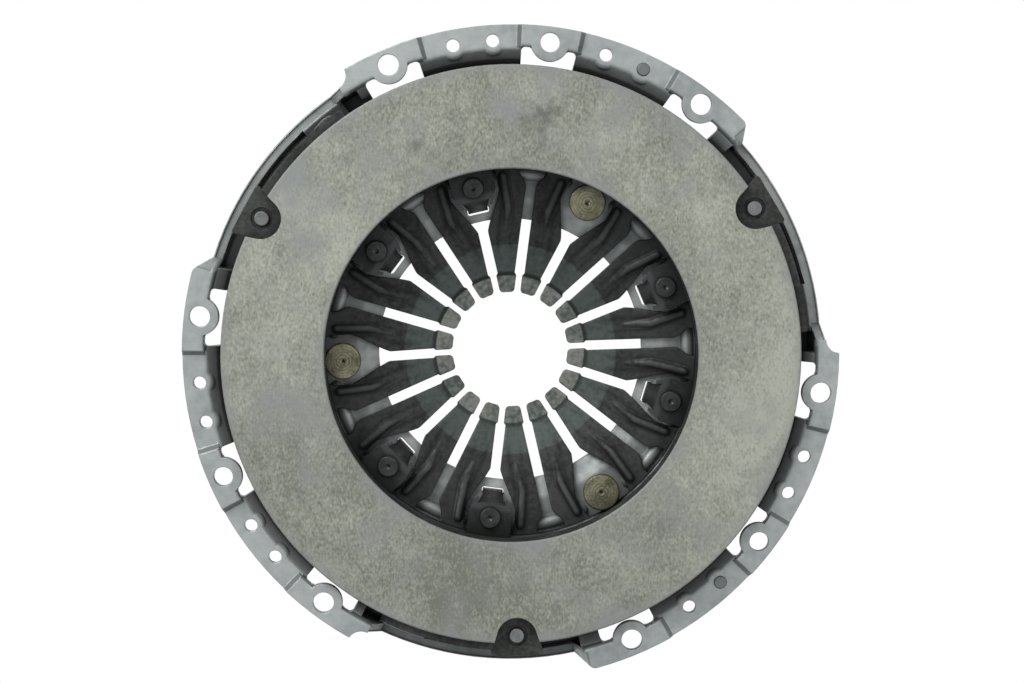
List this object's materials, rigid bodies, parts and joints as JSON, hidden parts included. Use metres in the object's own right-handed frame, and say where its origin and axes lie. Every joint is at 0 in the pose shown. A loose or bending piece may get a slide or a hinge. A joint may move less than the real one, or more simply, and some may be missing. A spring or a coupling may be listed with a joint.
{
  "type": "clutch pressure plate",
  "caption": "Diaphragm-spring clutch cover assembly: a stamped cover that bolts to a flywheel and a strap-driven cast ring that the spring clamps onto the clutch disc.",
  "frame": {"origin": "centre of the bolt circle, on the mounting face of the bolt pads", "axes": "+Z along the clutch axis, towards the flywheel (the friction face side)"},
  "size_m": [0.2756, 0.2709, 0.0423],
  "materials": {
    "cover_sheet": "satin blue-grey phosphated steel sheet",
    "cast_iron": "ground friction face on dark grey as-cast iron",
    "spring_steel": "dark green-grey phosphated spring steel, slightly oily",
    "wire_steel": "dark drawn wire",
    "dark_rivet": "dark phosphated rivet",
    "clip_steel": "dark blued sheet",
    "yellow_plated_rivet": "turned head with dull yellow zinc plating",
    "lug_rivet_steel": "plain grey steel",
    "strap_steel": "dark spring leaf steel"
  },
  "bodies": {
    "cover": {"cover": "cover_sheet", "diaphragm_spring": "spring_steel", "fulcrum_ring": "wire_steel", "retainer_clip_1": "clip_steel", "main_rivet_1": "dark_rivet", "retainer_clip_2": "clip_steel", "main_rivet_2": "dark_rivet", "retainer_clip_3": "clip_steel", "main_rivet_3": "dark_rivet", "retainer_clip_4": "clip_steel", "main_rivet_4": "dark_rivet", "retainer_clip_5": "clip_steel", "main_rivet_5": "dark_rivet", "retainer_clip_6": "clip_steel", "main_rivet_6": "dark_rivet", "stop_rivet_1": "yellow_plated_rivet", "stop_rivet_2": "yellow_plated_rivet", "stop_rivet_3": "yellow_plated_rivet", "strap_anchor_rivet_a": "dark_rivet", "strap_a_leaf_1": "strap_steel", "strap_a_leaf_2": "strap_steel", "strap_a_leaf_3": "strap_steel", "strap_anchor_rivet_b": "dark_rivet", "strap_b_leaf_1": "strap_steel", "strap_b_leaf_2": "strap_steel", "strap_b_leaf_3": "strap_steel", "strap_anchor_rivet_c": "dark_rivet", "strap_c_leaf_1": "strap_steel", "strap_c_leaf_2": "strap_steel", "strap_c_leaf_3": "strap_steel", "balance_rivets": "dark_rivet"},
    "pressure_plate": {"pressure_plate": "cast_iron", "lug_rivet_a": "lug_rivet_steel", "lug_rivet_b": "lug_rivet_steel", "lug_rivet_c": "lug_rivet_steel"}
  },
  "joints": [
    {"name": "plate_travel", "type": "slide", "parent": "cover", "child": "pressure_plate", "axis": [0, 0, 1], "range_m": [-0.0067, 0], "stiffness_N_per_m": 100000, "springref_m": 0.002, "deforming": ["diaphragm_spring", "strap_a_leaf_1", "strap_a_leaf_2", "strap_a_leaf_3", "strap_b_leaf_1", "strap_b_leaf_2", "strap_b_leaf_3", "strap_c_leaf_1", "strap_c_leaf_2", "strap_c_leaf_3"]}
  ]
}
